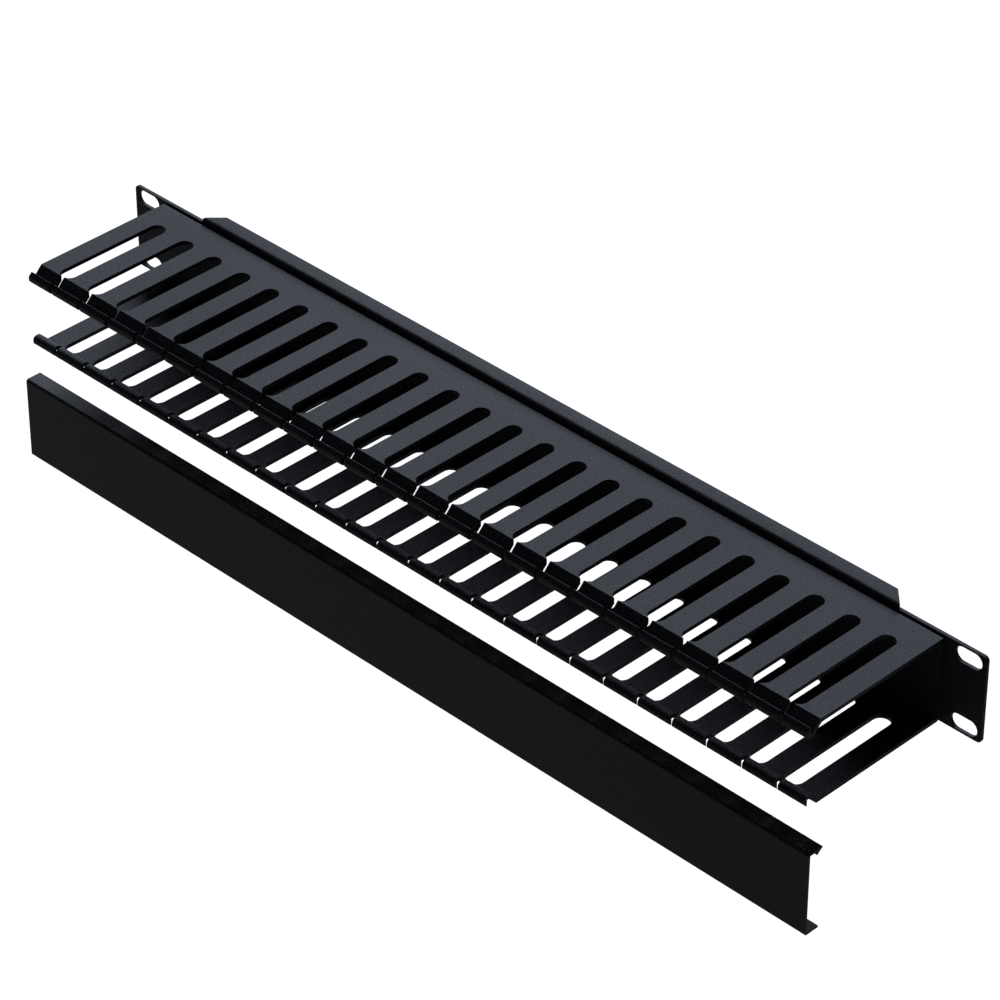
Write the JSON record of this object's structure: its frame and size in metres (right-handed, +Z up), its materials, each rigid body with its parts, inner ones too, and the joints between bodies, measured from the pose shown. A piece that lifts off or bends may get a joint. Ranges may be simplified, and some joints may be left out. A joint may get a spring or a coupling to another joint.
{
  "type": "horizontal cable manager",
  "caption": "Black folded-sheet cable manager for a server rack: slotted finger channel on an eared panel, with its hooked clip-on cover taken off in front.",
  "frame": {"origin": "centre of the rack screw pattern, on the rear face of the ears, which lies against the rack rails", "axes": "+X along the panel to its right end seen from the front, +Y back into the rack, +Z up"},
  "size_m": [0.4826, 0.0874, 0.0991],
  "materials": {
    "black_powder_coat": "fine-textured black powder coat"
  },
  "bodies": {
    "mounted": {"rack_panel": "black_powder_coat", "finger_channel": "black_powder_coat"},
    "cover": {"cover": "black_powder_coat"}
  },
  "joints": [
    {"name": "cover_slide", "type": "slide", "parent": "mounted", "child": "cover", "axis": [0, -0.4011, 0.916], "range_m": [0, 0.0623]}
  ]
}
